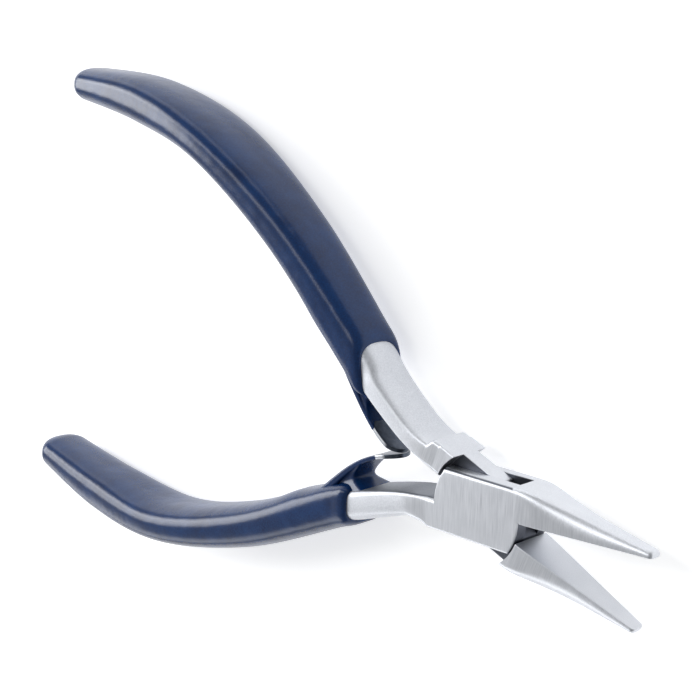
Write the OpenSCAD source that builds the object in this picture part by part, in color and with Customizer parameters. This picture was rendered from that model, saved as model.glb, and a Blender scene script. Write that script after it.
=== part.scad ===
// Box-joint flat-jaw jewellery pliers with twin leaf springs and dipped grips.
// Millimetres. Origin: pivot axis at the underside of the joint. +X to the jaws, +Z up the pivot pin.

/* [Joint] */
// Angle between the jaws as the springs hold them
opening = 21.8; // [16:0.1:26]
// Thickness of the joint along the pin
joint_t = 6.5; // [6:0.1:7.5]
// Height of the joint block across the tool
joint_h = 9; // [8.6:0.1:9.6]
// Radius of the round ends of the box cheeks
cheek_r = 7.15; // [6.9:0.05:7.3]
// Thickness of the tongue inside the box
tongue_t = 2.74; // [2.4:0.02:3]
// Radius of the pivot pin
pin_r = 1.6; // [1.4:0.1:1.8]
// Width of the broken edges round the joint
edge_break = 0.4; // [0.2:0.1:0.6]

/* [Jaws] */
// Distance from the pivot to the jaw tips
jaw_reach = 25.7; // [23:0.1:29]
// Height of one jaw at its tip
tip_h = 0.85; // [0.8:0.05:1.6]
// Width of the jaw face at its tip
tip_w = 2.2; // [1.6:0.1:3]

/* [Handles] */
// Distance from the pivot to the ends of the grips, jaws closed
handle_reach = 103; // [98:0.5:112]
// Largest offset of a handle from the middle line, jaws closed
handle_bow = 20; // [18:0.5:22]
// Thickness of the dipped grip
dip_t = 0.7; // [0.5:0.05:0.9]
// Distance from the pivot to the open end of the grips
grip_start = 23.4; // [23:0.1:26]

/* [Springs] */
// Thickness of a spring leaf
leaf_t = 0.6; // [0.5:0.05:0.7]
// Width of a spring leaf
leaf_w = 5; // [4:0.1:5.4]
// Radius of the rivet that holds a leaf
rivet_r = 1; // [0.8:0.1:1.1]

/* [Hidden] */
$fn = 64;

half_open = opening / 2;
half_t = joint_t / 2;
half_h = joint_h / 2;

// Clearances: running fits on the pin and the tongue, and the gaps round the cheeks
pin_clear = 0.05;
side_clear = 0.05;
arc_gap = 0.25;
shoulder_r = cheek_r + arc_gap;
tongue_r = cheek_r + 0.05;
slot_r = cheek_r + 0.3;
slot_half = tongue_t / 2 + side_clear;
// Half of the gap between the shanks behind the joint when the jaws are closed
shank_gap = 0.3;
// Where the joint block hands over to the forged shank and to the jaw
shank_x = 8.8;
tongue_shoulder_x = 9.9;
jaw_x = 8;
// Where the tongue is cut back at the front top and the rear bottom
tongue_cut = 0.3;

steel = "LightSteelBlue";
blue = [0.09, 0.18, 0.36];

// ---- Curves ----

// Smooth curve through the rows of a table, with u counting rows
function row(table, i) = table[max(0, min(len(table) - 1, i))];
function blend_rows(p, q, r, s, f) =
    0.5 * (2 * q + (r - p) * f + (2 * p - 5 * q + 4 * r - s) * f * f
           + (3 * q - p - 3 * r + s) * f * f * f);
function along(table, u) =
    let (i = min(floor(u), len(table) - 2), f = u - i)
    blend_rows(row(table, i - 1), row(table, i), row(table, i + 1), row(table, i + 2), f);

// Rows of the steel handle, jaws closed: distance behind the pivot, offset from the middle line,
// half thickness, half width, squareness of the outer and of the inner corners.
// The tongue half is forged thinner behind the joint than the box half, and a little shorter.
box_longer = 1.7;
tongue_tail = 0.73;
box_tail = 0.76;
tongue_neck = [
    [shank_x, 1.85, 1.55, half_t, 7, 10],
    [12.5, 2.15, 1.5, 3.55, 4, 10],
    [16.2, 2.8, 1.5, 3.65, 3.6, 9],
    [22.5, 4.75, 1.8, 3.75, 3.2, 6]];
box_neck = [
    [shank_x, 2.3, 2, half_t, 7, 10],
    [12.5, 2.45, 1.8, 3.55, 4, 10],
    [16.2, 3.35, 2, 3.65, 3.4, 9],
    [22.5, 5.2, 2.3, 3.75, 3, 6]];
function gripped_rows(reach, tail) = [
    for (r = [[0.27, 0.35, 2.6, 3.65, 2.8, 3.4],
              [0.46, 0.765, 2.75, 4.55, 2.6, 2.6],
              [0.655, 1, 2.65, 5.5, 2.6, 2.6],
              [0.83, 0.95, 2.95, 4.8, 2.6, 2.6],
              [1, tail, 2.05, 3.9, 2.4, 2.4]])
        [r[0] * reach, r[1] * handle_bow, r[2], r[3], r[4], r[5]]];
tongue_rows = concat(tongue_neck, gripped_rows(handle_reach, tongue_tail));
box_rows = concat(box_neck, gripped_rows(handle_reach + box_longer, box_tail));
last_row = len(tongue_rows) - 1;

function spine(rows, u) =
    let (v = along(rows, u)) [-v[0], v[1]];
function spine_dir(rows, u) =
    let (e = 0.01, lo = max(0, u - e), hi = min(last_row, u + e), d = spine(rows, hi) - spine(rows, lo))
    d / norm(d);
function side_of(d) = [d[1], -d[0]];

// Signed power, the corner law of a superellipse
function spow(x, p) = sign(x) * pow(abs(x), p);

// One ring of the handle at u, grown by skin all round and shrunk by the factor k at the end cap
ring_n = 24;
function ring(rows, u, skin, k, shift) =
    let (v = along(rows, u), c = spine(rows, u), d = spine_dir(rows, u), n = side_of(d),
         a = (v[2] + skin) * k, b = (v[3] + skin) * k)
    [for (j = [0:ring_n - 1])
        let (t = 360 * j / ring_n, p = 2 / (cos(t) > 0 ? v[4] : v[5]),
             s = a * spow(cos(t), p), z = b * spow(sin(t), p))
        [c[0] + d[0] * shift + n[0] * s, c[1] + d[1] * shift + n[1] * s, z]];

// Closed skin over a list of rings with the same number of points
module skin_over(rings) {
    m = len(rings[0]);
    last = len(rings) - 1;
    sides = [for (i = [0:last - 1], j = [0:m - 1])
        each [[i * m + j, i * m + (j + 1) % m, (i + 1) * m + j],
              [i * m + (j + 1) % m, (i + 1) * m + (j + 1) % m, (i + 1) * m + j]]];
    polyhedron(points = [for (r = rings) each r],
               faces = concat([[for (j = [m - 1:-1:0]) j]], sides, [[for (j = [0:m - 1]) last * m + j]]));
}

// Length of the handle as rings, from row u0 to the round end, grown by skin
body_rings = 36;
cap_rings = 5;
cap_long = 3.6;
function handle_rings(rows, u0, skin) =
    let (u1 = last_row - 0.2)
    concat([for (i = [0:body_rings]) ring(rows, u0 + (u1 - u0) * i / body_rings, skin, 1, 0)],
           [for (i = [1:cap_rings]) let (t = 86 * i / cap_rings)
               ring(rows, u1, skin, cos(t), (cap_long + skin) * sin(t))]);

// ---- Steel halves, drawn with the jaws closed and the handle on the +Y side ----

module handle_core(rows) {
    skin_over(handle_rings(rows, 0, 0));
}

// Block of the joint between two heights, with its long edges broken
module block(from_x, to_x, from_y, to_y, half) {
    edge = edge_break;
    intersection() {
        translate([from_x, from_y, -half])
            cube([to_x - from_x, to_y - from_y, 2 * half]);
        translate([from_x - 1, 0, 0])
            rotate([90, 0, 90])
                linear_extrude(to_x - from_x + 2)
                    polygon([[half_h - edge, -half_t], [half_h, -half_t + edge],
                             [half_h, half_t - edge], [half_h - edge, half_t],
                             [edge - half_h, half_t], [-half_h, half_t - edge],
                             [-half_h, edge - half_t], [edge - half_h, -half_t]]);
    }
}

// Tapered jaw below the middle line: flat on y = 0, half round outside
jaw_n = 20;
function jaw_ring(x, h, w, square) =
    [for (j = [jaw_n:-1:0]) let (t = 180 * j / jaw_n, p = 2 / square)
        [x, -h * spow(sin(t), p), w * spow(cos(t), p)]];
function jaw_h(x) = half_h + (tip_h - half_h) * (x - jaw_x) / (jaw_reach - jaw_x);
function jaw_w(x) = half_t + (tip_w / 2 - half_t) * (x - jaw_x) / (jaw_reach - jaw_x);
tip_round = 0.6;

module jaw() {
    square = [[0, 9], [2, 6.5], [5, 4.4], [9, 3.2], [13, 2.6]];
    x1 = jaw_reach - tip_round;
    skin_over(concat(
        [for (s = square) jaw_ring(jaw_x + s[0], jaw_h(jaw_x + s[0]), jaw_w(jaw_x + s[0]), s[1])],
        [for (t = [0:18:80]) jaw_ring(x1 + tip_round * sin(t),
                                      jaw_h(x1) - tip_round * (1 - cos(t)),
                                      jaw_w(x1) - tip_round * (1 - cos(t)), 2.4)]));
}

// Flat seat and rivet hole for the spring's root on the inside of the handle
module seat_cut() {
    at_rivet() {
        translate([-seat_rear, -10, -leaf_w / 2 - 0.1])
            cube([seat_rear + seat_front + seat_run, 10, leaf_w + 0.2]);
        rotate([-90, 0, 0])
            cylinder(r = rivet_r, h = rivet_deep);
    }
}

// Forged outline that both halves share: shank behind the joint, jaw in front
module half_ends(half, rear_x) {
    block(-rear_x, 0, shank_gap, half_h, half);
    block(0, jaw_x, -half_h, 0, half);
}

module tongue_steel() {
    difference() {
        union() {
            handle_core(tongue_rows);
            jaw();
            difference() {
                half_ends(half_t, tongue_shoulder_x);
                cylinder(r = shoulder_r, h = 3 * joint_t, center = true);
            }
            half_ends(tongue_t / 2, shank_x);
            intersection() {
                cylinder(r = tongue_r, h = tongue_t, center = true);
                translate([0, 0, -joint_t])
                    linear_extrude(2 * joint_t)
                        polygon([[-cheek_r, half_h], [tongue_cut, half_h], [tongue_r, 0],
                                 [cheek_r, -half_h], [-tongue_cut, -half_h], [-tongue_r, 0]]);
            }
        }
        cylinder(r = pin_r + pin_clear, h = 3 * joint_t, center = true);
        seat_cut();
    }
}

module box_steel() {
    difference() {
        union() {
            handle_core(box_rows);
            jaw();
            half_ends(half_t, shank_x);
            intersection() {
                cylinder(r = cheek_r, h = joint_t, center = true);
                block(-cheek_r, cheek_r, -half_h, half_h, half_t);
            }
        }
        cylinder(r = slot_r, h = 2 * slot_half, center = true);
        cylinder(r = pin_r, h = 3 * joint_t, center = true);
        seat_cut();
    }
}

// ---- Springs, drawn on the +Y handle with the jaws closed and the leaf at its free shape ----

// Root of the leaf on the handle: the rivet's place along the handle, and the seat's length
rivet_u = 4.4;
seat_rear = 4;
seat_front = 6.4;
seat_run = 1.5;
rivet_deep = 2.6;
seat_depth = 0.35;
seat_gap = 0.02;
tip_gap = 0.05;

// Local frame on the seat: X along the handle to the joint, Y into the steel
module at_rivet() {
    c = spine(tongue_rows, rivet_u);
    d = -spine_dir(tongue_rows, rivet_u);
    v = along(tongue_rows, rivet_u);
    n = [-d[1], d[0]];
    depth = v[2] - seat_depth;
    translate([c[0] - n[0] * depth, c[1] - n[1] * depth, 0])
        rotate([0, 0, atan2(d[1], d[0])])
            children();
}
function seat_point(x, y) =
    let (c = spine(tongue_rows, rivet_u), d = -spine_dir(tongue_rows, rivet_u), n = [-d[1], d[0]],
         depth = along(tongue_rows, rivet_u)[2] - seat_depth)
    c - n * depth + d * x + n * y;

// The leaf's middle line: flat on the seat, then one easy curve to the tip near the middle line.
// The leaves touch a little off the middle line, so the box half's leaf reaches further.
leaf_mid = -seat_gap - leaf_t / 2;
leaf_root = seat_point(0.3 - seat_rear, leaf_mid);
leaf_bend = seat_point(seat_front, leaf_mid);
tip_x = 16;
touch_y = 0.6;
tongue_bends = [[-26.6, 3], [-21.8, -2.3]];
box_bends = [[-26.4, 2.3], [-22.3, -3]];
tongue_tip_y = touch_y + leaf_t / 2 + tip_gap;
box_tip_y = leaf_t / 2 + tip_gap - touch_y;
leaf_steps = 14;

function closed_place(x, y) =
    [x * cos(half_open) - y * sin(half_open), x * sin(half_open) + y * cos(half_open)];
function bend(t, bends, tip) =
    leaf_bend * pow(1 - t, 3) + bends[0] * 3 * t * pow(1 - t, 2)
    + bends[1] * 3 * t * t * (1 - t) + tip * pow(t, 3);
function leaf_line(bends, tip) =
    concat([leaf_root], [for (i = [0:leaf_steps]) bend(i / leaf_steps, bends, tip)]);
function line_normal(line, i) =
    let (q = line[min(i + 1, len(line) - 1)], p = line[max(i - 1, 0)], d = q - p)
    [-d[1], d[0]] / norm(d);
function offset_line(line, side) = [for (i = [0:len(line) - 1]) line[i] + line_normal(line, i) * side];
function reversed(list) = [for (i = [len(list) - 1:-1:0]) list[i]];

module leaf(bends, tip_y) {
    tip = closed_place(-tip_x, tip_y);
    line = leaf_line(bends, tip);
    run = tip - leaf_bend;
    difference() {
        intersection() {
            translate([0, 0, -leaf_w / 2])
                linear_extrude(leaf_w)
                    polygon(concat(offset_line(line, leaf_t / 2), reversed(offset_line(line, -leaf_t / 2))));
            translate([tip[0], tip[1], 0])
                rotate([0, 0, atan2(run[1], run[0])])
                    rotate([90, 0, 0])
                        translate([0, 0, -10])
                            linear_extrude(20) {
                                translate([-leaf_w / 2, 0])
                                    circle(r = leaf_w / 2);
                                translate([-40, -leaf_w / 2])
                                    square([40 - leaf_w / 2, leaf_w]);
                            }
        }
        at_rivet()
            rotate([90, 0, 0])
                cylinder(r = rivet_r + pin_clear, h = 10, center = true);
    }
}

// Rivet: shank in the handle, low head on the leaf
module rivet() {
    head_r = 1.8 * rivet_r;
    head_h = 0.5;
    at_rivet()
        rotate([90, 0, 0]) {
            translate([0, 0, -rivet_deep])
                cylinder(r = rivet_r, h = rivet_deep + leaf_t + 2 * seat_gap);
            translate([0, 0, leaf_t + 2 * seat_gap])
                cylinder(r1 = head_r, r2 = 0.7 * head_r, h = head_h);
        }
}

// ---- Grips ----

// Window in the grip's inner wall through which the leaf leaves the handle
module spring_window() {
    at_rivet()
        translate([-seat_rear - 0.5, -10, -leaf_w / 2 - 0.4])
            cube([30, 10.4, leaf_w + 0.8]);
}

// The dip line: straight across the tool on the box half, leaning back on the tongue half
tongue_dip_lean = 26;
dip_turn_y = 3;
module grip(rows, lean) {
    difference() {
        skin_over(handle_rings(rows, 3, dip_t));
        handle_core(rows);
        spring_window();
        translate([-grip_start, dip_turn_y, 0])
            rotate([0, 0, lean])
                translate([0, -handle_reach, -handle_reach])
                    cube(2 * handle_reach);
    }
}

// ---- Placing: the tongue half opens towards -Z turns, the box half the other way ----

module on_tongue_side() {
    translate([0, 0, half_t])
        rotate([0, 0, -half_open])
            children();
}

module on_box_side() {
    translate([0, 0, half_t])
        rotate([0, 0, half_open])
            mirror([0, 1, 0])
                children();
}

module box_half() {
    color(steel) on_box_side() box_steel();
}

module tongue_half() {
    color(steel) on_tongue_side() tongue_steel();
}

module pivot_pin() {
    color(steel) cylinder(r = pin_r, h = joint_t);
}

module box_grip() {
    color(blue) on_box_side() grip(box_rows, 0);
}

module tongue_grip() {
    color(blue) on_tongue_side() grip(tongue_rows, tongue_dip_lean);
}

module box_spring() {
    color("Silver") on_box_side() leaf(box_bends, box_tip_y);
}

module tongue_spring() {
    color("Silver") on_tongue_side() leaf(tongue_bends, tongue_tip_y);
}

module box_rivet() {
    color("Gray") on_box_side() rivet();
}

module tongue_rivet() {
    color("Gray") on_tongue_side() rivet();
}

box_half();
tongue_half();
pivot_pin();
box_grip();
tongue_grip();
box_spring();
tongue_spring();
box_rivet();
tongue_rivet();
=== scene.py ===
# %% [markdown]
# # Box-joint jewellery pliers
# One half of these pliers carries a thin tongue that passes right through a slot in the other half, so the
# joint has two cheeks outside and can't twist. Two leaf springs push the handles apart, and both handles
# were dipped in blue PVC after the springs were riveted on. The CAD frame gives the places, the joint axes
# and the bodies. Here the steel, the springs and the dip are made again as smooth surfaces with real
# finishes. Lengths are in millimetres until the last step, which turns them into metres.

import bmesh
import bpy
import numpy as np
from mathutils import Euler, Matrix, Vector


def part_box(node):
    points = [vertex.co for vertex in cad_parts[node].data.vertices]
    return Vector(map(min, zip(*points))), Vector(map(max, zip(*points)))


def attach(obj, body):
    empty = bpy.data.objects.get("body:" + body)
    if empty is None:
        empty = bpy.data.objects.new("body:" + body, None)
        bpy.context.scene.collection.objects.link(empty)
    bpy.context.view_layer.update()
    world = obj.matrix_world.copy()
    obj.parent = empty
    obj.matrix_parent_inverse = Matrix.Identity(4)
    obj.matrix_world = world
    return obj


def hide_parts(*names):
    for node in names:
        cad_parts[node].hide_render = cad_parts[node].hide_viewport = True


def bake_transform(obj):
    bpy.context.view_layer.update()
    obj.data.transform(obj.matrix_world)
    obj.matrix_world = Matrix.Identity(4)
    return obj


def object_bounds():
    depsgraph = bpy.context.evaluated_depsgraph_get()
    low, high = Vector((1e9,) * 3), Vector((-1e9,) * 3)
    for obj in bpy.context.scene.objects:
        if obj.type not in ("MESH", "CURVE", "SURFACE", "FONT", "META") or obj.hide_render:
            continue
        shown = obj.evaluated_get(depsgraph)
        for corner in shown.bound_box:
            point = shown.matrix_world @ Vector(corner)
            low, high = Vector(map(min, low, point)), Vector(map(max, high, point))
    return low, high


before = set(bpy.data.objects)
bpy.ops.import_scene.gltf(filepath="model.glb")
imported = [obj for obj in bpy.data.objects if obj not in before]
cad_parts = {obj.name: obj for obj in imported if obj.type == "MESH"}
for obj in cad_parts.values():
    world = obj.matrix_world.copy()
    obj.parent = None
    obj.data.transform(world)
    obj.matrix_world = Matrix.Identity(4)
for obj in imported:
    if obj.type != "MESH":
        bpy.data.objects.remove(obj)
CAD_BOX = [list(corner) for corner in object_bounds()]
MM = 0.001
print("CAD box in mm:", [[round(value / MM, 1) for value in corner] for corner in CAD_BOX])

# %% [markdown]
# ## Driving sizes
# The pin runs from one face of the joint to the other, so its box gives the joint's thickness and the pin's
# radius. Everything else about a half is drawn with the jaws closed, handle on the +Y side, and is then
# turned open by half of the angle between the jaws.

# %% Sizes of the joint
pin_low, pin_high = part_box("pivot_pin")
half_t = (pin_high.z - pin_low.z) / MM / 2
pin_r = (pin_high.x - pin_low.x) / MM / 2
half_open = np.radians(10.9)
half_h = 4.5
cheek_r = 7.15
edge_r = 0.7
tongue_half_t = 1.37
slot_half_t = 1.42
slot_r = 7.45
shoulder_r = 7.4
shank_gap = 0.3
shank_x = 8.8
jaw_x = 8.0
jaw_reach = 25.7
tip_h = 0.85
tip_w = 1.1
print("joint", 2 * half_t, "mm thick, pin radius", round(pin_r, 2), "mm")

# %% [markdown]
# ## The handle as a table and a smooth curve
# A forged handle changes its width and thickness slowly along its length. A few rows hold the sizes at the
# places where they change, and a Catmull-Rom curve passes smoothly through them. Drawing it by hand with
# many more points would only add bumps.

# %% Rows of the handle and the curve through them
# distance behind the pivot, offset, half thickness, half width, squareness outside, squareness inside
NECK = {
    "tongue": [[shank_x, 1.85, 1.55, half_t, 7, 10], [12.5, 2.15, 1.5, 3.55, 4, 10],
               [16.2, 2.8, 1.5, 3.65, 3.6, 9], [22.5, 4.75, 1.8, 3.75, 3.2, 6]],
    "box": [[shank_x, 2.3, 2, half_t, 7, 10], [12.5, 2.45, 1.8, 3.55, 4, 10],
            [16.2, 3.35, 2, 3.65, 3.4, 9], [22.5, 5.2, 2.3, 3.75, 3, 6]],
}
GRIPPED = [[0.27, 7, 2.6, 3.65, 2.8, 3.4], [0.46, 15.3, 2.75, 4.55, 2.6, 2.6],
           [0.655, 20, 2.65, 5.5, 2.6, 2.6], [0.83, 19, 2.95, 4.8, 2.6, 2.6]]
REACH = {"tongue": 103, "box": 104.7}
TAIL = {"tongue": 14.6, "box": 15.2}


def handle_rows(side):
    """Neck rows in mm, then the gripped rows with their distance as a share of the reach."""
    gripped = [[share * REACH[side], *rest] for share, *rest in GRIPPED]
    return np.array(NECK[side] + gripped + [[REACH[side], TAIL[side], 2.05, 3.9, 2.4, 2.4]], float)


def along(rows, u):
    """Catmull-Rom curve through the rows: half of 2q + (r-p)f + (2p-5q+4r-s)f^2 + (3q-p-3r+s)f^3,
    where f is the share of the way from row q to row r, and p and s are the rows on either side."""
    last = len(rows) - 1
    i = np.minimum(np.floor(u), last - 1).astype(int)
    f = (u - i)[..., None]
    p, q, r, s = (rows[np.clip(i + k, 0, last)] for k in (-1, 0, 1, 2))
    return 0.5 * (2 * q + (r - p) * f + (2 * p - 5 * q + 4 * r - s) * f**2
                  + (3 * q - p - 3 * r + s) * f**3)


def spine(rows, u):
    """Centre and unit direction of the handle at u, with the difference of two near points as direction."""
    last = len(rows) - 1
    centre = along(rows, u)[..., :2] * [-1, 1]
    ahead = along(rows, np.minimum(u + 0.01, last))[..., :2] * [-1, 1]
    behind = along(rows, np.maximum(u - 0.01, 0))[..., :2] * [-1, 1]
    step = ahead - behind
    return centre, step / np.linalg.norm(step, axis=-1, keepdims=True)


def smooth(x):
    """Smoothstep: 3x^2 - 2x^3 between 0 and 1, flat outside."""
    x = np.clip(x, 0, 1)
    return x * x * (3 - 2 * x)


CAP_START = len(handle_rows("box")) - 1 - 0.2
CAP_LONG = 3.6
print("handle rows:", len(handle_rows("box")), "and the end cap starts at row", CAP_START)

# %% [markdown]
# ## From rings to a mesh
# A solid here is a stack of closed rings with the same number of points. Neighbouring rings are joined with
# four-sided faces and each end is closed with a fan, so the mesh has no seam and no open pole.

# %% Place a half
def place(points, side):
    """Turn closed-jaw millimetres into the frame's metres: the tongue half turns by minus half the opening,
    the box half is mirrored in y and turns the other way, and both rise by half the joint's thickness."""
    x, y, z = points[..., 0], points[..., 1], points[..., 2]
    turn = -half_open
    if side == "box":
        y, turn = -y, half_open
    c, s = np.cos(turn), np.sin(turn)
    return np.stack([x * c - y * s, x * s + y * c, z + half_t], -1) * MM


jaw_tips = [place(np.array([jaw_reach, 0, 0]), side) for side in ("box", "tongue")]
print("jaw tips stand", round(float(jaw_tips[0][1] - jaw_tips[1][1]) / MM, 1), "mm apart at rest")

# %% Faces of a loft and the object they make
def loft_faces(count, around):
    """Quads between ring i and ring i+1, each closed on itself, with a fan to a centre point at each end."""
    i, j = np.meshgrid(np.arange(count - 1), np.arange(around), indexing="ij")
    k = (j + 1) % around
    quads = np.stack([i * around + j, i * around + k, (i + 1) * around + k, (i + 1) * around + j], -1)
    ring = np.arange(around)
    turned = np.roll(ring, -1)
    first = np.stack([turned, ring, np.full(around, count * around)], -1)
    last = np.stack([ring, turned, np.full(around, count * around + 1)], -1)
    last[:, :2] += (count - 1) * around
    return quads.reshape(-1, 4).tolist() + first.tolist() + last.tolist()


def make_object(name, points, faces):
    """An object in the scene from points in metres and faces, with its normals turned outward."""
    mesh = bpy.data.meshes.new(name)
    mesh.from_pydata(points.reshape(-1, 3).tolist(), [], faces)
    mesh.validate()
    tidy = bmesh.new()
    tidy.from_mesh(mesh)
    bmesh.ops.recalc_face_normals(tidy, faces=tidy.faces)
    tidy.to_mesh(mesh)
    tidy.free()
    made = bpy.data.objects.new(name, mesh)
    bpy.context.scene.collection.objects.link(made)
    return made


def loft(name, rings, side):
    """A closed object of one half from its rings, with both ends fanned to their ring's mean point."""
    centres = np.stack([rings[0].mean(0), rings[-1].mean(0)])
    points = np.concatenate([rings.reshape(-1, 3), centres])
    return make_object(name, place(points, side), loft_faces(*rings.shape[:2]))


print("two rings of four points give", len(loft_faces(2, 4)), "faces")

# %% [markdown]
# ## Cutting like a machinist
# Slots and holes are milled or drilled with a straight tool, so each cutter is a flat outline carried
# straight up. The exact solver keeps the cut's edges clean, and the cut is baked at once, so a finished
# piece carries no modifier. An angle then tells the crisp edges from the smooth ones.

# %% Cutters, cuts and shading
def prism(name, outline, low, high, side):
    """A flat outline in x and y, carried straight up from low to high."""
    outline = np.asarray(outline, float)
    around = len(outline)
    rings = np.stack([np.column_stack([outline, np.full(around, z)]) for z in (low, high)])
    sides = [[j, (j + 1) % around, around + (j + 1) % around, around + j] for j in range(around)]
    ends = [list(range(around))[::-1], list(range(around, 2 * around))]
    return make_object(name, place(rings, side), sides + ends)


def disc(radius, count=160):
    """Points at equal angles on a circle about the pivot."""
    angle = np.linspace(0, 2 * np.pi, count, endpoint=False)
    return np.stack([radius * np.cos(angle), radius * np.sin(angle)], -1)


def cut(solid, cutters):
    """Subtract each cutter in turn with the exact solver, keep the result as a plain mesh and drop the
    cutters."""
    for cutter in cutters:
        step = solid.modifiers.new("cut", "BOOLEAN")
        step.operation, step.solver, step.object = "DIFFERENCE", "EXACT", cutter
    graph = bpy.context.evaluated_depsgraph_get()
    result = bpy.data.meshes.new_from_object(solid.evaluated_get(graph))
    solid.modifiers.clear()
    solid.data = result
    for cutter in cutters:
        bpy.data.objects.remove(cutter)


def shade(solid, angle=32):
    """Smooth everywhere, with an edge kept crisp where two faces meet at more than the angle."""
    solid.data.polygons.foreach_set("use_smooth", np.ones(len(solid.data.polygons), bool))
    solid.data.set_sharp_from_angle(angle=np.radians(angle))
    return solid


print("a round cutter has", len(disc(slot_r)), "sides")

# %% [markdown]
# ## One ring of steel
# Behind the joint a ring is a bar with a crisp inner edge and a round outer one, in the joint it is a
# rectangle with broken edges, and in front of it the outer edges grow until the jaw is half round. One law
# covers them all: a rectangle whose corners are quarter superellipses of their own size and squareness.

# %% The ring law
FLAT_STEPS = 10
CORNER_STEPS = 9
WIDE_STEPS = 6


def bar_rings(low, high, wide, low_corner, high_corner):
    """Rings (s, z) of a bar from s = low to high and z = -wide to wide. A corner is (size in s, size in z,
    squareness p): its points are size times sin^(2/p) and cos^(2/p) of an angle from 0 to 90 degrees."""
    low, high, wide = (np.asarray(v, float)[:, None] for v in (low, high, wide))
    (la, lb, lp), (ha, hb, hp) = ([np.asarray(v, float)[:, None] for v in corner]
                                  for corner in (low_corner, high_corner))
    theta = np.linspace(0, np.pi / 2, CORNER_STEPS + 1)[None, :-1]
    flat = np.linspace(0, 1, FLAT_STEPS + 1)[None, :-1]
    across = np.linspace(0, 1, WIDE_STEPS + 1)[None, :-1]
    rise, fall = np.sin(theta), np.cos(theta)
    near = (low + la + (high - ha - low - la) * flat, wide + 0 * flat)
    high_near = (high - ha + ha * rise ** (2 / hp), wide - hb + hb * fall ** (2 / hp))
    high_face = (high + 0 * across, (wide - hb) * (1 - 2 * across))
    high_far = (high - ha + ha * fall ** (2 / hp), -wide + hb - hb * rise ** (2 / hp))
    far = (high - ha - (high - ha - low - la) * flat, -wide + 0 * flat)
    low_far = (low + la - la * rise ** (2 / lp), -wide + lb - lb * fall ** (2 / lp))
    low_face = (low + 0 * across, -(wide - lb) * (1 - 2 * across))
    low_near = (low + la - la * fall ** (2 / lp), wide - lb + lb * rise ** (2 / lp))
    parts = [near, high_near, high_face, high_far, far, low_far, low_face, low_near]
    return (np.concatenate([p[0] for p in parts], 1), np.concatenate([p[1] for p in parts], 1))


def bar_along(line, normal, *bar):
    """The bar's rings stood along a line: s runs along the line's normal and z straight up."""
    s, z = bar_rings(*bar)
    return np.stack([line[:, :1] + normal[:, :1] * s, line[:, 1:] + normal[:, 1:] * s, z], -1)


print("a ring has", 2 * FLAT_STEPS + 2 * WIDE_STEPS + 4 * CORNER_STEPS, "points")

# %% [markdown]
# ## The outline from jaw tip to shank
# Seen along the pin, the jaw is a straight taper, each cheek is a circle with its top and bottom ground off,
# and the shank starts behind it. Stations stand closer together where the outline turns.

# %% Jaw taper and joint outline
def taper(x):
    """Share of the way along the jaw, 0 at its root and 1 at its tip, with a soft start 3 mm long: a parabola
    from 1.5 mm behind the root to 1.5 mm in front of it, then a straight line."""
    ahead = x - jaw_x
    return np.where(ahead < 1.5, np.clip(ahead + 1.5, 0, 3)**2 / 6, ahead) / (jaw_reach - jaw_x)


def joint_outline():
    """x, low y and high y of a half from the jaw tip back to the shank, as stations along x. The jaw's face
    is y = 0, the cheek's two free corners follow its circle, and the shank starts a gap above y = 0."""
    corner = np.arcsin(half_h / cheek_r)
    jaw = np.concatenate([np.linspace(jaw_reach - 0.6, jaw_x + 0.05, 70), np.linspace(jaw_x, cheek_r, 5)])
    front = np.linspace(0, corner, 14)[1:]
    middle = np.linspace(cheek_r * np.cos(corner), -cheek_r * np.cos(corner), 40)[1:-1]
    rear = np.linspace(corner, 0, 18)
    shank = np.linspace(-cheek_r - 0.01, -shank_x + 0.2, 8)
    x = np.concatenate([jaw, cheek_r * np.cos(front), middle, -cheek_r * np.cos(rear), shank])
    jaw_h = half_h + (tip_h - half_h) * taper(x)
    low, high = -jaw_h, np.full(len(x), half_h)
    low[-len(rear) - len(shank):-len(shank)] = -cheek_r * np.sin(rear)
    low[-len(shank):] = shank_gap
    high[:len(jaw)] = 0
    high[len(jaw):len(jaw) + len(front)] = cheek_r * np.sin(front)
    return x, low, high


print("stations from tip to shank:", len(joint_outline()[0]))


# %% [markdown]
# ## The two forged halves
# A half runs from the jaw tip through the joint and down the handle in one piece, so it is one loft. The
# slot, the pin hole, the spring's seat and the rivet hole are machined afterwards on the real tool, and are
# cut afterwards here as well. The tongue half is thinned on both sides until only the tongue is left.

# %% Rings of a half
FACE_EDGE = 0.12
SIDE_FLAT = 0.14
BACK_FLAT = 0.16
TIP_R = 0.6
CORNER_SHARE = 0.985


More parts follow.
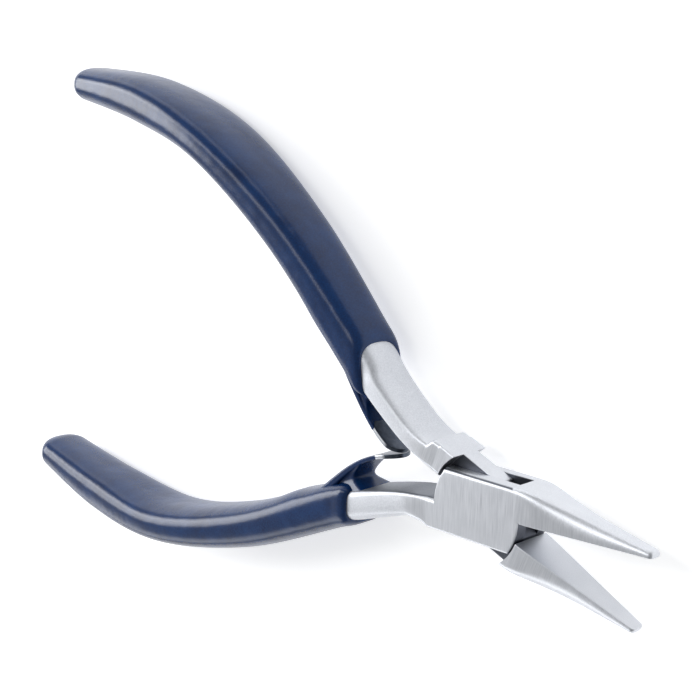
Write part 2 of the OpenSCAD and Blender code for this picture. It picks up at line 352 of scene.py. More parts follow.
def forged_rings(side, shoulder_x):
    """All rings of a half. In the joint they stand square to x; on the handle they turn with its spine. The
    jaw keeps a narrow flat on its back and sides and a crisp edge round its face, and the handle's corners
    take almost all of its thickness."""
    rows = handle_rows(side)
    x, low, high = joint_outline()
    wide = half_t + (tip_w - half_t) * taper(x)
    round_off = smooth((x - 5) / 13)
    low_corner = (edge_r + (-low - BACK_FLAT - edge_r) * round_off,
                  edge_r + (wide - SIDE_FLAT - edge_r) * smooth((x - 5) / 15), 2 + 0.2 * round_off)
    crisp = np.where(x > cheek_r, FACE_EDGE, edge_r * 0.5)
    base = np.stack([x, 0 * x], -1)
    up = np.stack([0 * x, 0 * x + 1], -1)
    joint = bar_along(base, up, low, high, wide, low_corner, (crisp, crisp, 2 + 0 * x))

    tip = np.radians(np.linspace(12, 84, 7))
    tip_low = low[0] + TIP_R * (1 - np.cos(tip))
    tip_wide = wide[0] - TIP_R * (1 - np.cos(tip))
    tip_up = np.stack([0 * tip, 0 * tip + 1], -1)
    tip_base = np.stack([jaw_reach - TIP_R + TIP_R * np.sin(tip), 0 * tip], -1)
    tip_crisp = FACE_EDGE + 0 * tip
    tip_rings = bar_along(tip_base, tip_up, tip_low, 0 * tip, tip_wide,
                          (-tip_low - BACK_FLAT, tip_wide - SIDE_FLAT, 2 + 0 * tip),
                          (tip_crisp, tip_crisp, 2 + 0 * tip))[::-1]

    u = np.concatenate([np.linspace(0, 3, 90), np.linspace(3, CAP_START, 170)[1:]])
    v = along(rows, u)
    centre, way = spine(rows, u)
    bent = smooth((-centre[:, 0] - shank_x) / 4)[:, None]
    way = way * bent + np.array([-1.0, 0.0]) * (1 - bent)
    way /= np.linalg.norm(way, axis=1, keepdims=True)
    out = np.stack([way[:, 1], -way[:, 0]], -1)
    blend = smooth((-centre[:, 0] - shank_x) / 3)
    a, b = v[:, 2], v[:, 3]
    step = np.maximum(half_h - centre[:, 1] - a, 0) * (1 - smooth((-centre[:, 0] - shoulder_x) / 0.9))

    def corner(power):
        return (edge_r + (CORNER_SHARE * a - edge_r) * blend, edge_r + (CORNER_SHARE * b - edge_r) * blend,
                2 + (power - 2) * blend)

    handle = bar_along(centre, out, -a, a + step, b, corner(v[:, 5]), corner(v[:, 4]))
    t = np.radians(np.linspace(0, 87, 14))[1:]
    end_centre, end_way, end_out, end_a, end_b = (np.repeat(k[-1:], len(t), 0)
                                                  for k in (centre, way, out, a, b))
    shrink = np.cos(t)
    ends = (CORNER_SHARE * end_a * shrink, CORNER_SHARE * end_b * shrink, v[-1, 4] + 0 * t)
    cap = bar_along(end_centre + end_way * CAP_LONG * np.sin(t)[:, None], end_out,
                    -end_a * shrink, end_a * shrink, end_b * shrink, ends, ends)
    return np.concatenate([tip_rings, joint, handle, cap])


print("rings in a half:", len(forged_rings("box", shank_x)))

# %% [markdown]
# ## The spring's seat
# The root of each leaf lies in a shallow flat milled across the inside of the handle, with a rivet hole in
# its middle. The seat's frame also places the leaf later on.

# %% Seat and rivet hole
RIVET_ROW = 4.4
RIVET_DEEP = 2.6
LEAF_T = 0.6
LEAF_HALF_W = 2.5
SEAT_DEPTH = 0.35
SEAT_REAR = 4
SEAT_FRONT = 6.4
SEAT_RUN = 1.5


def seat_frame():
    """The spring seat's centre and its two directions: along the handle to the joint, and into the steel."""
    rows = handle_rows("tongue")
    u = np.array([RIVET_ROW])
    centre, way = spine(rows, u)
    ahead = -way[0]
    into = np.array([-ahead[1], ahead[0]])
    return centre[0] - into * (along(rows, u)[0, 2] - SEAT_DEPTH), ahead, into


def seat_point(x, y):
    """A point x along the seat from the rivet and y into the steel, in closed-jaw millimetres."""
    start, ahead, into = seat_frame()
    return start + ahead * x + into * y


def seat_cutters(side):
    """The block that mills the seat and the pin of 1 mm radius that bores the rivet hole."""
    front = SEAT_FRONT + SEAT_RUN
    box = [seat_point(-SEAT_REAR, 0), seat_point(front, 0), seat_point(front, -6), seat_point(-SEAT_REAR, -6)]
    start, ahead, into = seat_frame()
    angle = np.linspace(0, 2 * np.pi, 48, endpoint=False)
    ring = np.stack([start + ahead * k for k in np.cos(angle)])
    low = np.column_stack([ring - into * 0.5, np.sin(angle)])
    high = np.column_stack([ring + into * RIVET_DEEP, np.sin(angle)])
    hole = loft("hole", np.stack([low, high]), side)
    return [prism("seat", box, -LEAF_HALF_W - 0.1, LEAF_HALF_W + 0.1, side), hole]


print("seat", SEAT_REAR + SEAT_FRONT + SEAT_RUN, "mm long,", SEAT_DEPTH, "mm deep")

# %% [markdown]
# ## Loft and machine both halves
# The slot and the thinning of the tongue are round cuts about the pin. The tongue also loses its front top
# and its rear bottom, which leaves it a slanted bar that can swing inside the slot.

# %% The two halves
TONGUE_SHOULDER_X = 9.9
PIN_CLEAR = 0.05
PAST = 5
THROUGH = 6
FRONT_TOP = [[0.2, 4.8], [7.35, 0.03], [7.8, 0.3], [7.8, 4.8]]
REAR_LOW = [[-0.2, -4.8], [-7.5, -0.1], [-7.9, -0.3], [-7.9, -4.8]]

box_half = loft("box_half_forging", forged_rings("box", shank_x), "box")
cut(box_half, [prism("slot", disc(slot_r), -slot_half_t, slot_half_t, "box"),
               prism("pin_hole", disc(pin_r, 96), -THROUGH, THROUGH, "box")] + seat_cutters("box"))
tongue_half = loft("tongue_half_forging", forged_rings("tongue", TONGUE_SHOULDER_X), "tongue")
cut(tongue_half, [prism("near_side", disc(shoulder_r), tongue_half_t, PAST, "tongue"),
                  prism("far_side", disc(shoulder_r), -PAST, -tongue_half_t, "tongue"),
                  prism("front_top", FRONT_TOP, -PAST, PAST, "tongue"),
                  prism("rear_low", REAR_LOW, -PAST, PAST, "tongue"),
                  prism("pin_hole", disc(pin_r + PIN_CLEAR, 96), -THROUGH, THROUGH, "tongue")]
    + seat_cutters("tongue"))
for half, body, node in ((box_half, "box_side", "box_half"), (tongue_half, "tongue_side", "tongue_half")):
    shade(half)
    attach(half, body)
    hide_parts(node)
    print(half.name, "has", len(half.data.polygons), "faces")

# %% [markdown]
# ## The leaf springs
# Each spring is a strip of spring steel with a round end. It lies flat under its rivet, leaves the handle at
# a pressed bend and sweeps in until the two tips meet. The strip is a cubic Bezier curve with a thin
# rounded section carried along it. It bends as the handles close.

# %% The leaf's line
BENDS = {"tongue": [[-26.6, 3], [-21.8, -2.3]], "box": [[-26.4, 2.3], [-22.3, -3]]}
TIP_Y = {"tongue": 0.95, "box": -0.25}
TIP_X = -16
SEAT_GAP = 0.02
LEAF_EDGE = 0.16
ROOT_POINTS = 23
SWEEP_POINTS = 90
leaf_bend = seat_point(SEAT_FRONT, -SEAT_GAP - LEAF_T / 2)
leaf_root = seat_point(0.3 - SEAT_REAR, -SEAT_GAP - LEAF_T / 2)


def leaf_points(side):
    """The flat root as a straight line, then the cubic Bezier p0(1-t)^3 + 3p1 t(1-t)^2 + 3p2 t^2(1-t) + p3 t^3,
    with its end given in the open pose and turned back to the closed one. Gives the points and normals."""
    c, s = np.cos(half_open), np.sin(half_open)
    tip = np.array([TIP_X * c - TIP_Y[side] * s, TIP_X * s + TIP_Y[side] * c])
    t = (1 - np.cos(np.linspace(0, np.pi, SWEEP_POINTS))) / 2
    t = (0.35 * t + 0.65 * np.linspace(0, 1, SWEEP_POINTS))[:, None]
    p1, p2 = np.array(BENDS[side], float)
    sweep = leaf_bend * (1 - t)**3 + 3 * p1 * t * (1 - t)**2 + 3 * p2 * t * t * (1 - t) + tip * t**3
    root = leaf_root + (leaf_bend - leaf_root) * np.linspace(0, 1, ROOT_POINTS + 1)[:-1, None]
    line = np.concatenate([root, sweep])
    for _ in range(3):
        line[1:-1] = (line[:-2] + 2 * line[1:-1] + line[2:]) / 4
    way = np.gradient(line, axis=0)
    way /= np.linalg.norm(way, axis=1, keepdims=True)
    return line, np.stack([-way[:, 1], way[:, 0]], -1)


print("a leaf's line has", len(leaf_points("box")[0]), "points")

# %% The strip and its blend
def leaf_rings(side):
    """The end is a half circle: the half width is the square root of r^2 - (distance past its centre)^2."""
    line, normal = leaf_points(side)
    length = np.concatenate([[0], np.cumsum(np.linalg.norm(np.diff(line, axis=0), axis=1))])
    fine = np.concatenate([np.linspace(0, length[-1] - LEAF_HALF_W, 150)[:-1],
                           length[-1] - LEAF_HALF_W + LEAF_HALF_W * np.sin(np.linspace(0, 1.54, 28))])

    def pick(values):
        return np.stack([np.interp(fine, length, values[:, k]) for k in (0, 1)], -1)

    past = np.clip(fine - length[-1] + LEAF_HALF_W, 0, LEAF_HALF_W)
    wide = np.sqrt(LEAF_HALF_W**2 - past**2) + 1e-3
    thick = np.full(len(fine), LEAF_T / 2)
    edge = np.minimum(LEAF_EDGE, 0.8 * wide)
    corner = (edge, edge, 2 + 0 * edge)
    return bar_along(pick(line), pick(normal), -thick, thick, wide, corner, corner)


leaves = {}
for side in ("box", "tongue"):
    leaf = shade(loft(side + "_leaf_spring", leaf_rings(side), side), 50)
    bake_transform(leaf)
    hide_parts(side + "_spring")
    leaves[side] = leaf
print("leaf thickness", LEAF_T, "mm, width", 2 * LEAF_HALF_W, "mm")

# %% [markdown]
# ## The dipped grips
# The handles are hung in liquid PVC and drawn out. The skin is nearly even, it thins to a rounded lip at the
# dip line, and the line itself is the level of the liquid, so it is a plane across the handle with a small
# sag. The skin is two surfaces, one on the steel and one outside it, joined at the lip and closed at the end.

# %% The skin's surface and the dip line
DIP_T = 0.7
DIP_LEAN = {"box": 0.0, "tongue": np.radians(26)}
DIP_X = -23.4
DIP_Y = 3.0
CLEAR = 0.012
LIP_T = 0.02
LIP_LONG = 1.3
BEAD = 0.05
RIVET_BUMP = 0.32
AROUND = 96


def skin_surface(rows, u, theta, skin):
    """The handle's superellipse ring at u grown by skin: s = (a + skin) cos^(2/p), z = (b + skin) sin^(2/p),
    with the outer squareness where the cosine is positive and the inner one where it is negative."""
    v = along(rows, u)
    centre, way = spine(rows, u)
    c, s = np.cos(theta), np.sin(theta)
    power = 2 / np.where(c > 0, v[..., 4], v[..., 5])
    across = (v[..., 2] + skin) * np.sign(c) * np.abs(c)**power
    up = (v[..., 3] + skin) * np.sign(s) * np.abs(s)**power
    return np.stack([centre[..., 0] + way[..., 1] * across, centre[..., 1] - way[..., 0] * across, up], -1)


def dip_distance(points, side, theta):
    """Distance behind the dip line: the plane's, less a lip that runs forward on the outer far side."""
    lean = DIP_LEAN[side]
    behind = -(points[..., 0] - DIP_X) * np.cos(lean) - (points[..., 1] - DIP_Y) * np.sin(lean)
    forward = 1.5 if side == "box" else 0.4
    lip = forward * np.clip(np.cos(theta + 0.9), 0, 1)**3
    return behind + lip + 0.12 * np.sin(3 * theta + 0.7)


print("skin", DIP_T, "mm thick, lip", LIP_LONG, "mm long")

# %% Grow the skin
def grip_rings(side):
    """Rings of a grip, from the closed end of the inner surface to the lip and back outside to its own end.
    Every point of a ring starts where its line along the handle crosses the dip line."""
    rows = handle_rows(side)
    theta = np.linspace(0, 2 * np.pi, AROUND, endpoint=False)
    coarse = np.linspace(1.8, 5, 700)
    grid = skin_surface(rows, coarse[:, None], theta[None], 0.3 + 0 * coarse[:, None])
    behind = dip_distance(grid, side, theta[None])
    start = np.array([np.interp(0, behind[:, j], coarse) for j in range(AROUND)])
    ease = np.concatenate([np.linspace(0, 1, 26)**2 * 0.035, np.linspace(0.035, 1, 170)[1:]])[:, None]
    u = start[None] + (CAP_START - start[None]) * ease
    back = dip_distance(skin_surface(rows, u, theta[None], DIP_T + 0 * u), side, theta[None])
    back = np.maximum(back - back[:1], 0)
    lip = np.sqrt(1 - (1 - np.clip(back / LIP_LONG, 0, 1))**2)
    bead = BEAD * np.exp(-((back - 1.6) / 0.9)**2)
    rivet = RIVET_BUMP * np.exp(-((u - RIVET_ROW) / 0.16)**2) * np.exp(-(np.sin(theta[None]) / 0.75)**2)
    rivet = rivet * (np.cos(theta[None]) < 0)
    skin = LIP_T + (DIP_T - LIP_T) * lip + bead * lip + rivet
    outer = skin_surface(rows, u, theta[None], skin)
    inner = skin_surface(rows, u, theta[None], CLEAR + 0 * u)

    def cap(grown):
        t = np.radians(np.linspace(0, 87, 16))[1:, None]
        flat = skin_surface(rows, np.full((len(t), AROUND), CAP_START), theta[None], grown)
        centre, way = spine(rows, np.array([CAP_START]))
        middle = np.array([*centre[0], 0])
        reach = np.array([*way[0], 0]) * ((CAP_LONG + grown) * np.sin(t))[..., None]
        return middle + (flat - middle) * np.cos(t)[..., None] + reach

    return np.concatenate([cap(CLEAR)[::-1], inner[::-1], outer, cap(DIP_T)])


grips = {}
for side in ("box", "tongue"):
    grip = shade(loft(side + "_dipped_grip", grip_rings(side), side), 60)
    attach(grip, side + "_side")
    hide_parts(side + "_grip")
    grips[side] = grip
    print(grip.name, len(grip.data.polygons), "faces")

# %% [markdown]
# ## PVC on the springs
# The dip also wets the root of each leaf and fills the corner between leaf and shank with a thick web whose
# front edge hangs like a soap film. The film is a thin sleeve round the leaf that fades out, and the web is a
# block ruled between the leaf and the shank with a hollow front. Both are soft and stretch with the leaf.

# %% Film round a leaf
FILM_END = {"box": (0.68, 0.035), "tongue": (0.5, 0.07)}
FILM_START = 17
FILM_T = 0.34


def film_rings(side):
    """The leaf's own section grown by a thickness that falls from 0.34 mm to almost nothing. A point with
    height z ends at the share end + lean * z of the leaf, because the film hangs lower on one edge."""
    line, normal = leaf_points(side)
    end, lean = FILM_END[side]
    share = np.linspace(0, 1, 90)
    grow = FILM_T * (1 - smooth((share - 0.2) / 0.8)) + CLEAR
    corner = (LEAF_EDGE + grow * 0.8, LEAF_EDGE + grow * 0.8, 2 + 0 * grow)
    s, z = bar_rings(-LEAF_T / 2 - grow, LEAF_T / 2 + grow, LEAF_HALF_W + grow * 1.1, corner, corner)
    at = FILM_START + (ROOT_POINTS - FILM_START + SWEEP_POINTS * (end + lean * z)) * share[:, None]
    count = np.arange(len(line))
    x, y, nx, ny = (np.interp(at, count, values) for values in (*line.T, *normal.T))
    return np.stack([x + nx * s, y + ny * s, z], -1)


print("film", FILM_T, "mm thick at the root")

# %% Web between leaf and shank
def web_rings(side):
    """A ring for each share q of the way from the leaf to the shank. Going round a ring the points run
    forward on the near side, round the hollow front, and back on the far side; the front lies at
    x = front(q), which is furthest back in the middle, and y is ruled between the two curves."""
    line, normal = leaf_points(side)
    order = np.argsort(line[:, 0])
    under = (line + normal * 0.28)[order]
    rows = handle_rows(side)
    u = np.linspace(1, 4.6, 400)
    centre, direction = spine(rows, u)
    shank = centre - np.stack([direction[:, 1], -direction[:, 0]], -1) * (along(rows, u)[:, 2:3] - 0.12)
    sort = np.argsort(shank[:, 0])
    q = np.linspace(0, 1, 40)[:, None]
    pinch = np.sin(np.pi * q**0.85)
    front = -21.3 - 1.9 * pinch + 0.9 * q**3 - 0.4 * q
    half = 2.62 - 0.45 * pinch + 0.45 * q**2
    rear = -29.4
    side_share = np.linspace(0, 1, 26)[None]
    turn = np.linspace(0, np.pi, 24)[None, 1:-1]
    round_r = 0.75
    reach = (front - round_r) - rear
    x = np.concatenate([rear + reach * side_share, front - round_r + round_r * np.sin(turn)**0.8,
                        rear + reach * side_share[:, ::-1]], 1)
    flat = np.sign(np.cos(turn)) * np.abs(np.cos(turn))**0.7
    z = np.concatenate([half + 0 * side_share, half * flat, -half + 0 * side_share], 1)
    low = np.interp(x, under[:, 0], under[:, 1])
    high = np.interp(x, shank[sort][:, 0], shank[sort][:, 1])
    return np.stack([x, low + (high - low) * q, z], -1)


print("rings in a web:", len(web_rings("box")))

# %% Both on each leaf
for side in ("box", "tongue"):
    for name, rings in (("_leaf_film", film_rings(side)), ("_dip_web", web_rings(side))):
        piece = shade(loft(side + name, rings, side), 60)
        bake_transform(piece)
        grips[side + name] = piece
        print(piece.name, len(piece.data.polygons), "faces")

# %% [markdown]
# ## Finishes
# Each finish starts from the real material. One helper adds a node, another turns sRGB hex into linear
# colour. Patterns read Object coordinates in metres, turned into the half's own closed-jaw millimetres, so
# the brushing follows the tool and not the room.

# %% Helpers for materials
def linear(code):
    """sRGB hex to linear RGBA: c/12.92 below 0.04045, else ((c + 0.055) / 1.055)^2.4."""
    c = np.array([int(code[k:k + 2], 16) for k in (1, 3, 5)]) / 255
    c = np.where(c <= 0.04045, c / 12.92, ((c + 0.055) / 1.055)**2.4)
    return (*[float(value) for value in c], 1.0)


def node(tree, kind, inputs=None, **settings):
    """Add one node. Settings are its properties; inputs are values, or sockets to link from."""
    made = tree.nodes.new(kind)
    for key, value in settings.items():
        setattr(made, key, value)
    for key, value in (inputs or {}).items():
        if isinstance(value, bpy.types.NodeSocket):
            tree.links.new(value, made.inputs[key])
        else:
            made.inputs[key].default_value = value
    return made


def new_material(name):
    """A new material with its node tree and its Principled shader."""
    material = bpy.data.materials.new(name)
    material.use_nodes = True
    tree = material.node_tree
    return material, tree, tree.nodes["Principled BSDF"]


def tool_mm(tree, turn=0.0):
    """Object coordinates in mm, turned about the pivot."""
    metres = node(tree, "ShaderNodeTexCoord").outputs["Object"]
    return node(tree, "ShaderNodeMapping", {"Vector": metres, "Rotation": (0, 0, turn),
                                            "Scale": (1 / MM,) * 3}).outputs[0]


def dress(piece, material):
    """Give a piece one material in place of any it has."""
    piece.data.materials.clear()
    piece.data.materials.append(material)


print("white is", [round(value, 3) for value in linear("#ffffff")])


# %% [markdown]
# ## Forged and ground steel
# The joint and the jaws are ground on a belt, which leaves fine parallel lines across the tool, and the
# shanks are blasted with fine grit. Both are bare tool steel: metallic, with the grinding as a stretched
# noise in bump, colour and roughness, and the grit as a round noise about 0.2 mm across. Real grit is finer;
# it is drawn this coarse so that it shows.

# %% Patterns of the steel
BLAST_X = (-10.4, -12.2)
LINE_SCALE = (9.5, 0.3, 9.5)
# each pair is where a mask is 0 and where it is 1, in mm, and for the last one the normal's share
INSIDE_Z = (3.2, 3.05)
INSIDE_R = (7.47, 7.3)
INSIDE_Y = (4.47, 4.36)
BEHIND_X = (-7.3, -7.8)
INNER_NORMAL = (0.8, 0.93)


def ground_and_blasted(tree, closed, x):
    """The surface's pattern and the share of it that is blasted. The change from lines to grit lies between
    two distances behind the pivot and wanders with a slow noise."""
    wander = node(tree, "ShaderNodeTexNoise", {"Vector": closed, "Scale": 0.7, "Detail": 2.0}).outputs["Fac"]
    edge = node(tree, "ShaderNodeMath", {0: wander, 1: 1.4, 2: x}, operation="MULTIPLY_ADD").outputs[0]
    blasted = node(tree, "ShaderNodeMapRange", {"Value": edge, "From Min": BLAST_X[0],
                                                "From Max": BLAST_X[1]}).outputs[0]
    stretched = node(tree, "ShaderNodeVectorMath", {0: closed, 1: LINE_SCALE}, operation="MULTIPLY").outputs[0]
    lines = node(tree, "ShaderNodeTexNoise", {"Vector": stretched, "Scale": 1.0, "Detail": 3.0}).outputs["Fac"]
    grit = node(tree, "ShaderNodeTexNoise", {"Vector": closed, "Scale": 4.6, "Detail": 2.0}).outputs["Fac"]
    pattern = node(tree, "ShaderNodeMix", {"Factor": blasted, "A": lines, "B": grit}).outputs["Result"]
    return pattern, blasted


def inside_joint(tree, closed):
    """1 on the faces inside the joint: within the slot's circle, below the cheeks' outer faces and between
    the flanks."""
    split = node(tree, "ShaderNodeSeparateXYZ", {"Vector": closed})
    rise = node(tree, "ShaderNodeMath", {0: split.outputs["Z"], 1: float(half_t)}, operation="SUBTRACT")
    rise = node(tree, "ShaderNodeMath", {0: rise.outputs[0]}, operation="ABSOLUTE").outputs[0]
    within = node(tree, "ShaderNodeMapRange", {"Value": rise, "From Min": INSIDE_Z[0],
                                               "From Max": INSIDE_Z[1]}).outputs[0]
    flat_xy = node(tree, "ShaderNodeVectorMath", {0: closed, 1: (1, 1, 0)}, operation="MULTIPLY").outputs[0]
    radius = node(tree, "ShaderNodeVectorMath", {0: flat_xy}, operation="LENGTH").outputs["Value"]
    near = node(tree, "ShaderNodeMapRange", {"Value": radius, "From Min": INSIDE_R[0],
                                             "From Max": INSIDE_R[1]}).outputs[0]
    flank = node(tree, "ShaderNodeMath", {0: split.outputs["Y"]}, operation="ABSOLUTE").outputs[0]
    flank = node(tree, "ShaderNodeMapRange", {"Value": flank, "From Min": INSIDE_Y[0],
                                              "From Max": INSIDE_Y[1]}).outputs[0]
    inside = node(tree, "ShaderNodeMath", {0: within, 1: near}, operation="MULTIPLY").outputs[0]
    return node(tree, "ShaderNodeMath", {0: inside, 1: flank}, operation="MULTIPLY").outputs[0]


def inner_face(tree, x, inner):
    """1 where a face behind the joint looks to the other handle; inner is the sign of that direction."""
    normal = node(tree, "ShaderNodeTexCoord").outputs["Normal"]
    facing = node(tree, "ShaderNodeSeparateXYZ", {"Vector": normal}).outputs["Y"]
    facing = node(tree, "ShaderNodeMath", {0: facing, 1: inner}, operation="MULTIPLY").outputs[0]
    facing = node(tree, "ShaderNodeMapRange", {"Value": facing, "From Min": INNER_NORMAL[0],
                                               "From Max": INNER_NORMAL[1]}).outputs[0]
    behind = node(tree, "ShaderNodeMapRange", {"Value": x, "From Min": BEHIND_X[0],
                                               "From Max": BEHIND_X[1]}).outputs[0]
    return node(tree, "ShaderNodeMath", {0: facing, 1: behind}, operation="MULTIPLY").outputs[0]


print("blasting starts", -BLAST_X[0], "to", -BLAST_X[1], "mm behind the pivot")

# %% [markdown]
# ## Steel of the two halves
# Two darker tones are painted over the bare steel as shade. The faces inside the joint get a dark painted
# shade, as the cheeks keep the light from them. The shanks' inner faces get a lighter painted shade, as the
# other half and the joint shade them.

# %% Steel of the two halves
def steel(name, turn, inner):
    """Bare tool steel for one half, which is turned back by turn so that its patterns lie along the tool."""
    material, tree, shader = new_material(name)
    closed = tool_mm(tree, turn)
    x = node(tree, "ShaderNodeSeparateXYZ", {"Vector": closed}).outputs["X"]
    pattern, blasted = ground_and_blasted(tree, closed, x)
    cloud = node(tree, "ShaderNodeTexNoise", {"Vector": closed, "Scale": 0.35, "Detail": 4.0}).outputs["Fac"]
    tone = node(tree, "ShaderNodeMath", {0: cloud, 1: 0.3, 2: pattern}, operation="MULTIPLY_ADD").outputs[0]
    bare = node(tree, "ShaderNodeValToRGB", {"Fac": tone})
    bare.color_ramp.elements[0].position = 0.4
    bare.color_ramp.elements[0].color = linear("#cacdd3")
    bare.color_ramp.elements[1].position = 1.0
    bare.color_ramp.elements[1].color = linear("#e4e6eb")
    # painted shade: the faces inside the joint are mixed toward dark grey #5d6068
    joint_shaded = node(tree, "ShaderNodeMix", {"Factor": inside_joint(tree, closed), "A": bare.outputs["Color"],
                                         "B": linear("#5d6068")}, data_type="RGBA").outputs["Result"]
    # painted shade: the shanks' inner faces behind the joint are mixed toward grey #82868e
    inner_face_shaded = node(tree, "ShaderNodeMix", {"Factor": inner_face(tree, x, inner), "A": joint_shaded,
                                          "B": linear("#82868e")}, data_type="RGBA").outputs["Result"]
    rough = node(tree, "ShaderNodeMapRange", {"Value": pattern, "From Min": 0.3, "From Max": 0.7,
                                              "To Min": 0.36, "To Max": 0.48}).outputs[0]
    rougher = node(tree, "ShaderNodeMath", {0: blasted, 1: 0.1, 2: rough}, operation="MULTIPLY_ADD").outputs[0]
    deeper = node(tree, "ShaderNodeMath", {0: blasted, 1: 3.5, 2: 0.8}, operation="MULTIPLY_ADD").outputs[0]
    relief = node(tree, "ShaderNodeMath", {0: pattern, 1: deeper}, operation="MULTIPLY").outputs[0]
    bump = node(tree, "ShaderNodeBump", {"Height": relief, "Strength": 0.3, "Distance": 0.00003})
    tree.links.new(inner_face_shaded, shader.inputs["Base Color"])
    tree.links.new(rougher, shader.inputs["Roughness"])
    tree.links.new(bump.outputs["Normal"], shader.inputs["Normal"])
    shader.inputs["Metallic"].default_value = 1.0
    return material


box_steel = steel("ground_tool_steel_box_half", -float(half_open), 1.0)
tongue_steel = steel("ground_tool_steel_tongue_half", float(half_open), -1.0)


dress(box_half, box_steel)
dress(tongue_half, tongue_steel)
dress(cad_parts["pivot_pin"], box_steel)
print(box_steel.name, "has", len(box_steel.node_tree.nodes), "nodes")

# %% [markdown]
# ## Spring steel and rivets
# Spring strip is hardened and tempered, which leaves a slate-grey face. A highlight is painted along its edges.

# %% Spring strip
def spring_strip(name):
    """Streaked slate steel with a painted highlight within about 0.1 mm of the strip's edges."""
    material, tree, shader = new_material(name)
    place_in = tool_mm(tree)
    streak = node(tree, "ShaderNodeTexNoise", {"Vector": place_in, "Scale": 1.6, "Detail": 4.0}).outputs["Fac"]
    height_z = node(tree, "ShaderNodeSeparateXYZ", {"Vector": place_in}).outputs["Z"]
    off = node(tree, "ShaderNodeMath", {0: height_z, 1: float(half_t)}, operation="SUBTRACT").outputs[0]
    away = node(tree, "ShaderNodeMath", {0: off}, operation="ABSOLUTE").outputs[0]
    edge_highlight = node(tree, "ShaderNodeMapRange", {"Value": away, "From Min": LEAF_HALF_W - 0.14,
                                               "From Max": LEAF_HALF_W - 0.02}).outputs[0]
    face = node(tree, "ShaderNodeValToRGB", {"Fac": streak})
    face.color_ramp.elements[0].color = linear("#3c424c")
    face.color_ramp.elements[1].color = linear("#6b727e")
    # painted highlight: the strip's edges are mixed toward light steel #d9dce2
    colour = node(tree, "ShaderNodeMix", {"Factor": edge_highlight, "A": face.outputs["Color"], "B": linear("#d9dce2")},
                  data_type="RGBA")
    tree.links.new(colour.outputs["Result"], shader.inputs["Base Color"])
    shader.inputs["Metallic"].default_value = 1.0
    shader.inputs["Roughness"].default_value = 0.3
    return material


strip = spring_strip("tempered_spring_strip")

# %% Rivets
rivet_steel, rivet_tree, rivet_shader = new_material("plain_steel_rivet")
rivet_noise = node(rivet_tree, "ShaderNodeTexNoise", {"Vector": tool_mm(rivet_tree), "Scale": 3.0})
rivet_ramp = node(rivet_tree, "ShaderNodeValToRGB", {"Fac": rivet_noise.outputs["Fac"]})
rivet_ramp.color_ramp.elements[0].color = linear("#8d9097")
rivet_ramp.color_ramp.elements[1].color = linear("#b4b7bd")
rivet_tree.links.new(rivet_ramp.outputs["Color"], rivet_shader.inputs["Base Color"])
rivet_shader.inputs["Metallic"].default_value = 1.0
rivet_shader.inputs["Roughness"].default_value = 0.4
for side in ("box", "tongue"):
    dress(leaves[side], strip)
    dress(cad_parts[side + "_rivet"], rivet_steel)
print("dressed with", strip.name, "and", rivet_steel.name)

# %% [markdown]
# ## Dipped PVC
# Plastisol cures to a smooth, glossy, slightly wavy skin, deep navy in the body, with a faint mottle, a fine
# speckle of pigment and an orange-peel ripple a few millimetres long. PVC has an index of about 1.53. It is
# set lower here, to 1.42: at 1.53 the white table's reflection greys the navy too much.

# %% Blue dip
def dipped_pvc(name):
    """Navy PVC with mottle and speckle in its colour and an orange-peel ripple in its surface."""
    material, tree, shader = new_material(name)
    place_in = tool_mm(tree)
    mottle = node(tree, "ShaderNodeTexNoise", {"Vector": place_in, "Scale": 0.22, "Detail": 5.0}).outputs["Fac"]
    speckle = node(tree, "ShaderNodeTexNoise", {"Vector": place_in, "Scale": 4.0, "Detail": 1.0}).outputs["Fac"]
    tone = node(tree, "ShaderNodeMix", {"Factor": 0.45, "A": mottle, "B": speckle}).outputs["Result"]
    colour = node(tree, "ShaderNodeValToRGB", {"Fac": tone})
    colour.color_ramp.elements[0].position = 0.36
    colour.color_ramp.elements[0].color = linear("#05234d")
    colour.color_ramp.elements[1].position = 0.64
    colour.color_ramp.elements[1].color = linear("#093467")
    ripple = node(tree, "ShaderNodeTexNoise", {"Vector": place_in, "Scale": 0.45, "Detail": 1.0}).outputs["Fac"]
    height = node(tree, "ShaderNodeBump", {"Height": ripple, "Strength": 0.5, "Distance": 0.00012})
    tree.links.new(colour.outputs["Color"], shader.inputs["Base Color"])
    tree.links.new(height.outputs["Normal"], shader.inputs["Normal"])
    shader.inputs["Roughness"].default_value = 0.27
    shader.inputs["IOR"].default_value = 1.42
    return material


blue_dip = dipped_pvc("dipped_pvc_navy")
for piece in grips.values():
    dress(piece, blue_dip)
print(len(grips), "pieces dressed with", blue_dip.name)

# %% [markdown]
# ## Table, light and camera
# A pale table and large soft lights keep the steel light and the shadows faint. Two long panels with a dark
# gap between them give polished edges their thin dark line, as strip lights do in a tool catalogue.

# %% Table
TABLE_HALF = 6.0
table_z = CAD_BOX[0][2]
corners = np.array([[-1, -1, 0], [1, -1, 0], [1, 1, 0], [-1, 1, 0]]) * TABLE_HALF + [0, 0, table_z]
table = make_object("pale_table", corners, [[0, 1, 2, 3]])
if table.data.polygons[0].normal.z < 0:
    table.data.flip_normals()
pale, pale_tree, pale_shader = new_material("white_card")
pale_shader.inputs["Base Color"].default_value = linear("#fbfbfb")
pale_shader.inputs["Roughness"].default_value = 0.9
pale_shader.inputs["Emission Color"].default_value = (1, 1, 1, 1)
pale_shader.inputs["Emission Strength"].default_value = 0.5
dress(table, pale)
print("table at", round(table_z / MM, 2), "mm,", 2 * TABLE_HALF, "m across")

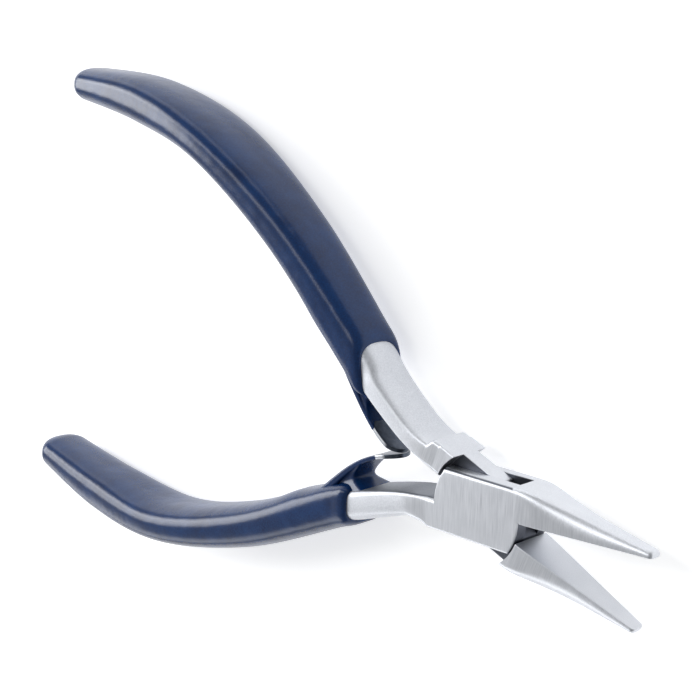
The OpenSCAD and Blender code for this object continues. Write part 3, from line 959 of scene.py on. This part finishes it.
# %% Lights
world = bpy.data.worlds.new("white_room")
bpy.context.scene.world = world
world.use_nodes = True
world.node_tree.nodes["Background"].inputs["Color"].default_value = (0.96, 0.98, 1, 1)
world.node_tree.nodes["Background"].inputs["Strength"].default_value = 0.28


# metres: how far the panels stand off, and the point they face
PANEL_AWAY = 0.8
PANEL_AIM = Vector((-0.03, 0, 0))
# direction from that point, width and length in metres, radiance in watts per square metre and steradian
PANELS = {
    "overhead": ((-0.54, -0.25, 0.8), 0.75, 0.9, 0.22),
    "strip": ((-0.54, 0.36, 0.76), 0.17, 1.0, 4.6),
    "side_strip": ((-0.54, 0.82, 0.17), 0.16, 1.0, 2.2),
    "low_back": ((-0.88, 0.0, 0.45), 0.4, 0.4, 6.5),
    "inner_side": ((-0.5, -0.8, 0.33), 0.3, 0.8, 2.4),
}


def panel(name, direction, across, long, radiance):
    """A soft panel that faces the tool, its long side along the tool. A flat panel of area A and radiance L
    gives off pi times A times L watts."""
    light = bpy.data.lights.new(name, "AREA")
    light.shape, light.size, light.size_y = "RECTANGLE", across, long
    light.energy = float(np.pi * across * long * radiance)
    away = Vector(direction).normalized()
    tall = (Vector((1, 0, 0)) - away * away.x).normalized()
    made = bpy.data.objects.new(name, light)
    made.location = PANEL_AIM + away * PANEL_AWAY
    made.rotation_euler = Matrix((tall.cross(away), tall, away)).transposed().to_euler()
    made.visible_camera = False
    bpy.context.scene.collection.objects.link(made)
    print(name, "gives", round(light.energy, 2), "W")


for name, settings in PANELS.items():
    panel(name, *settings)
bpy.context.scene.view_settings.view_transform = "Standard"

# %% Camera
camera = bpy.data.cameras.new("camera")
camera.lens = 71.6
camera.sensor_width = 36
camera.clip_start = 0.01
eye = bpy.data.objects.new("camera", camera)
eye.location = Vector((99.22, 79.43, 137.54)) * MM
eye.rotation_euler = Euler(np.radians([-11.788, 46.235, 11.892]))
bpy.context.scene.collection.objects.link(eye)
bpy.context.scene.camera = eye
print("camera is", round(eye.location.length / MM), "mm from the pivot")
